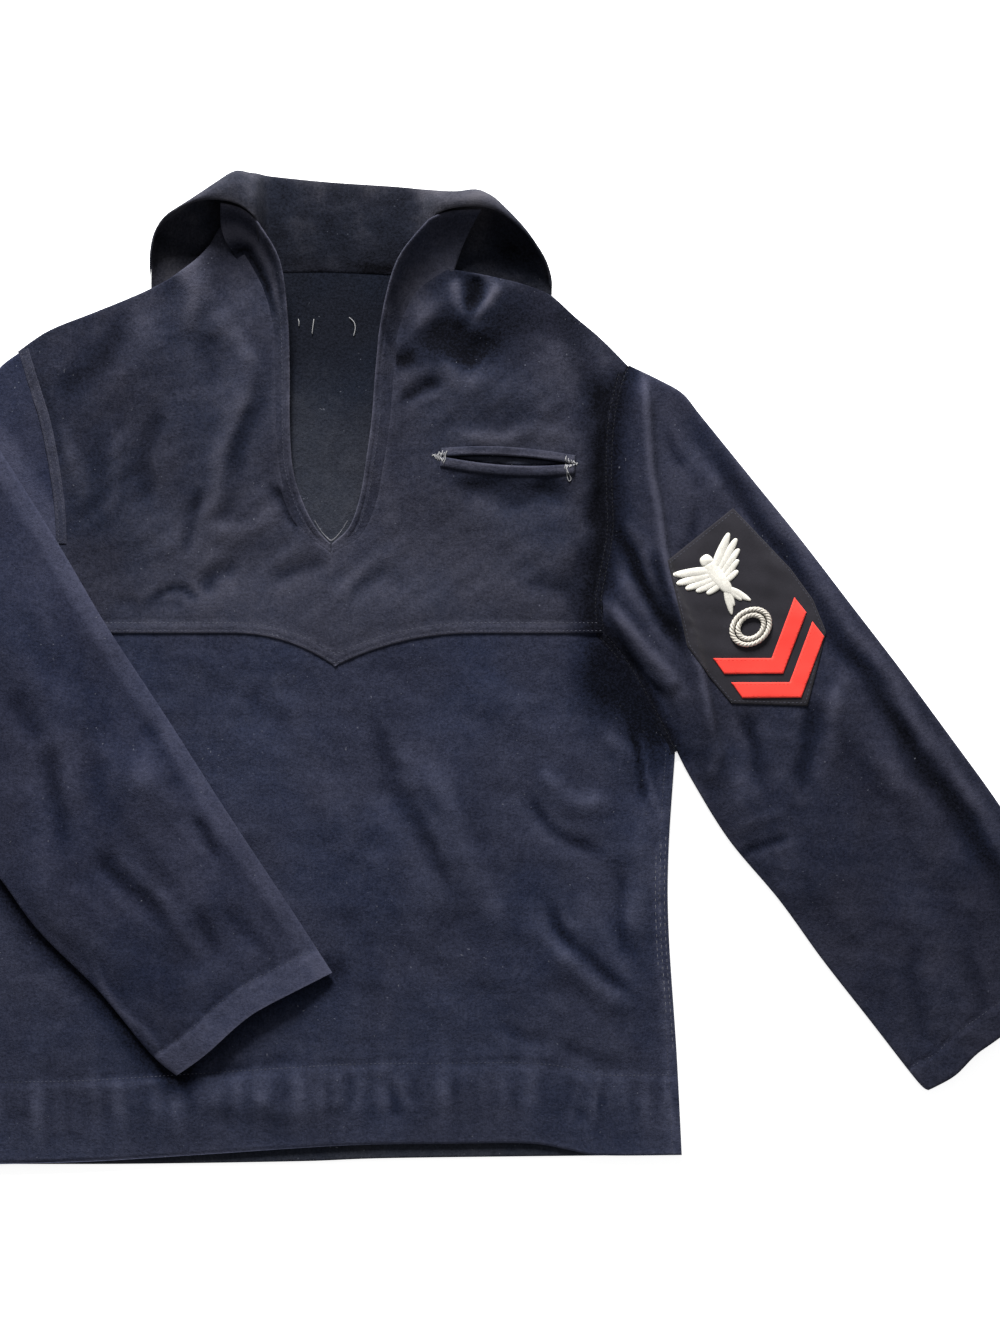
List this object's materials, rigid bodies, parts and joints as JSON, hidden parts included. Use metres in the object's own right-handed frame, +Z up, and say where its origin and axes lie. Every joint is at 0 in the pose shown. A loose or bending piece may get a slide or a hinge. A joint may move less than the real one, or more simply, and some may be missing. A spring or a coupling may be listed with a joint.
{
  "type": "sailor jumper",
  "caption": "Wool sailor's pullover jumper with a V neck, square back collar, pointed yoke, slit pocket and arm badge, laid flat with one sleeve folded over.",
  "frame": {"origin": "under the point of the yoke, on the back panel's flat underside", "axes": "+X across the body towards the spread sleeve, +Y from hem to collar, +Z up off the surface it lies on, through the front"},
  "size_m": [0.8762, 0.7519, 0.031],
  "materials": {
    "wool": "fulled navy wool, matt with a short nap",
    "lining": "dark cotton pocketing",
    "badge": "near-black wool felt",
    "red": "red wool felt",
    "white": "white satin-stitched thread",
    "grey": "grey-white cord and thread"
  },
  "bodies": {
    "root": {"back": "wool", "front": "wool", "yoke": "wool", "collar": "wool", "lapel_left": "wool", "lapel_right": "wool", "sleeve_right": "wool", "sleeve_left": "wool", "pocket_welt_upper": "wool", "pocket_welt_lower": "wool", "pocket_bag": "lining", "badge_patch": "badge", "chevron_upper": "red", "chevron_lower": "red", "badge_swallow": "white", "badge_ring": "grey"}
  },
  "joints": []
}
